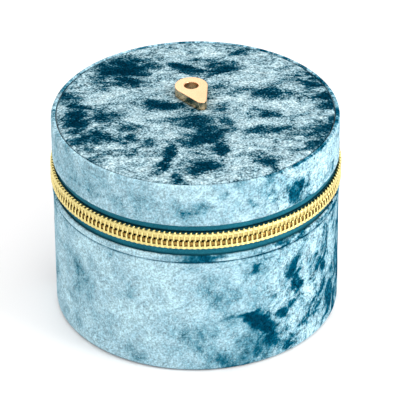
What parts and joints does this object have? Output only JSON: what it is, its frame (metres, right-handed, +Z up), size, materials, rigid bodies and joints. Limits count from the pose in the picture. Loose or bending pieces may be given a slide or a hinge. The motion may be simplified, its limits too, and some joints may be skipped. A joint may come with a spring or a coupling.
{
  "type": "travel jewelry case",
  "caption": "Round zip-around travel jewelry case covered in crushed velvet, with ring rolls, compartments, a lid mirror and a gold charm.",
  "frame": {"origin": "centre of the flat underside, where the case rests", "axes": "+Z up, -Y to the front, +Y to the fabric hinge at the back, +X to the right seen from the front"},
  "size_m": [0.0962, 0.0956, 0.0742],
  "materials": {
    "velvet_outer": "crushed velvet, pale ice blue with dark teal brushed patches",
    "board": "raw greyboard",
    "lining": "short pile velveteen, pale blue",
    "foam": "open cell foam, cream",
    "zip_tape": "woven tape, dark teal, matte",
    "zip_gold": "metallised coil, pale gold",
    "slider_metal": "polished pale gold plating",
    "charm_metal": "polished rose gold plating",
    "retainer_steel": "stamped steel",
    "mirror_silver": "silvered glass",
    "adhesive": "adhesive film"
  },
  "bodies": {
    "base": {"base_side_cover": "velvet_outer", "base_bottom_cover": "velvet_outer", "base_wall_board": "board", "base_floor_board": "board", "base_wall_lining": "lining", "base_floor_lining": "lining", "ring_roll_front": "lining", "ring_roll_middle": "lining", "ring_roll_rear": "lining", "ring_roll_cores": "foam", "divider_long": "lining", "divider_cross": "lining", "lower_zip_tape": "zip_tape", "lower_zip_coil": "zip_gold", "lower_zip_stops": "slider_metal", "hinge_strip": "velvet_outer", "hinge_lining": "lining"},
    "lid": {"lid_side_cover": "velvet_outer", "lid_top_cover": "velvet_outer", "lid_top_foam": "foam", "lid_top_board": "board", "lid_wall_board": "board", "lid_wall_lining": "lining", "lid_lining_panel": "lining", "mirror_adhesive": "adhesive", "mirror_glass": "mirror_silver", "mirror_frame": "lining", "lid_charm": "charm_metal", "charm_retainers": "retainer_steel", "upper_zip_tape": "zip_tape", "upper_zip_coil": "zip_gold", "upper_zip_stops": "slider_metal"},
    "slider": {"zip_slider_body": "slider_metal", "slider_bail": "slider_metal"},
    "link": {"pull_link": "slider_metal"},
    "tab": {"pull_tab": "slider_metal"}
  },
  "joints": [
    {"name": "lid_hinge", "type": "hinge", "parent": "base", "child": "lid", "pos_m": [0, 0.0468, 0.0508], "axis": [-1, 0, 0], "range_deg": [0, 105], "deforming": ["hinge_strip", "hinge_lining", "upper_zip_tape"]},
    {"name": "zip_travel", "type": "hinge", "parent": "base", "child": "slider", "pos_m": [0, 0, 0.0508], "axis": [0, 0, -1], "range_deg": [0, 301]},
    {"name": "link_swing", "type": "hinge", "parent": "slider", "child": "link", "pos_m": [0.02526, 0.04465, 0.0508], "axis": [0.8704, -0.4924, 0], "range_deg": [-3, 175]},
    {"name": "tab_swing", "type": "hinge", "parent": "link", "child": "tab", "pos_m": [0.02526, 0.04465, 0.04405], "axis": [0.4924, 0.8704, 0], "range_deg": [-50, 50]}
  ]
}
